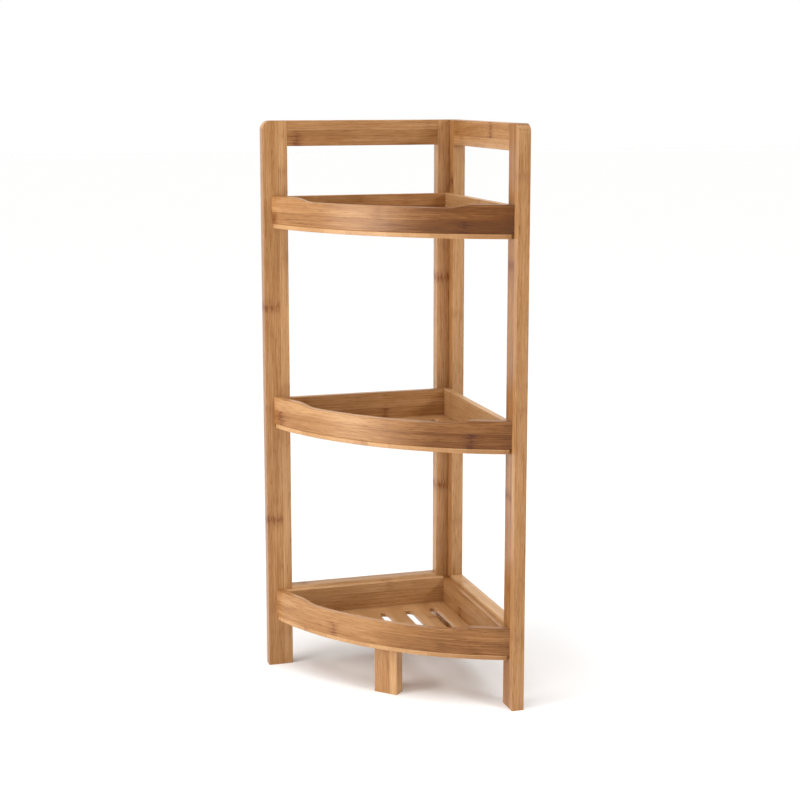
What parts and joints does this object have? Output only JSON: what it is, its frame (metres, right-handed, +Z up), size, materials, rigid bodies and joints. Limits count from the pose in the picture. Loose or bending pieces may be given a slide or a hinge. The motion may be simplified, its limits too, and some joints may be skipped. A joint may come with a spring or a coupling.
{
  "type": "shower caddy",
  "caption": "Corner shower caddy in bamboo: two ladder frames at a right angle carry quarter-round trays with slotted floors, raised sides and a curved front rail, on a short front leg.",
  "frame": {"origin": "on the floor, under the middle of the stand's 231 mm square plan", "axes": "+Z up; +Y towards the wall behind the left frame; +X towards the wall beside the right frame, so the trays open towards -X -Y"},
  "size_m": [0.231, 0.231, 0.625],
  "materials": {
    "frame_bamboo": "carbonised bamboo strips with a satin lacquer",
    "tray_bamboo": "carbonised bamboo strips with a satin lacquer, slightly darker on the tray pieces",
    "dowel_wood": "plain unfinished hardwood dowel",
    "screw_steel": "zinc-plated steel, dull"
  },
  "bodies": {
    "root": {"corner_screws": "screw_steel", "frame_dowels": "dowel_wood", "front_leg": "frame_bamboo", "left_bottom_rail": "frame_bamboo", "left_inner_stile": "frame_bamboo", "left_outer_stile": "frame_bamboo", "left_top_rail": "frame_bamboo", "leg_screws": "screw_steel", "lower_tray_floor": "tray_bamboo", "lower_tray_floor_screws": "screw_steel", "lower_tray_frame_screws": "screw_steel", "lower_tray_front_rail": "tray_bamboo", "lower_tray_left_board": "tray_bamboo", "lower_tray_right_board": "tray_bamboo", "middle_tray_floor": "tray_bamboo", "middle_tray_floor_screws": "screw_steel", "middle_tray_frame_screws": "screw_steel", "middle_tray_front_rail": "tray_bamboo", "middle_tray_left_board": "tray_bamboo", "middle_tray_right_board": "tray_bamboo", "right_bottom_rail": "frame_bamboo", "right_inner_stile": "frame_bamboo", "right_outer_stile": "frame_bamboo", "right_top_rail": "frame_bamboo", "upper_tray_floor": "tray_bamboo", "upper_tray_floor_screws": "screw_steel", "upper_tray_frame_screws": "screw_steel", "upper_tray_front_rail": "tray_bamboo", "upper_tray_left_board": "tray_bamboo", "upper_tray_right_board": "tray_bamboo"}
  },
  "joints": []
}
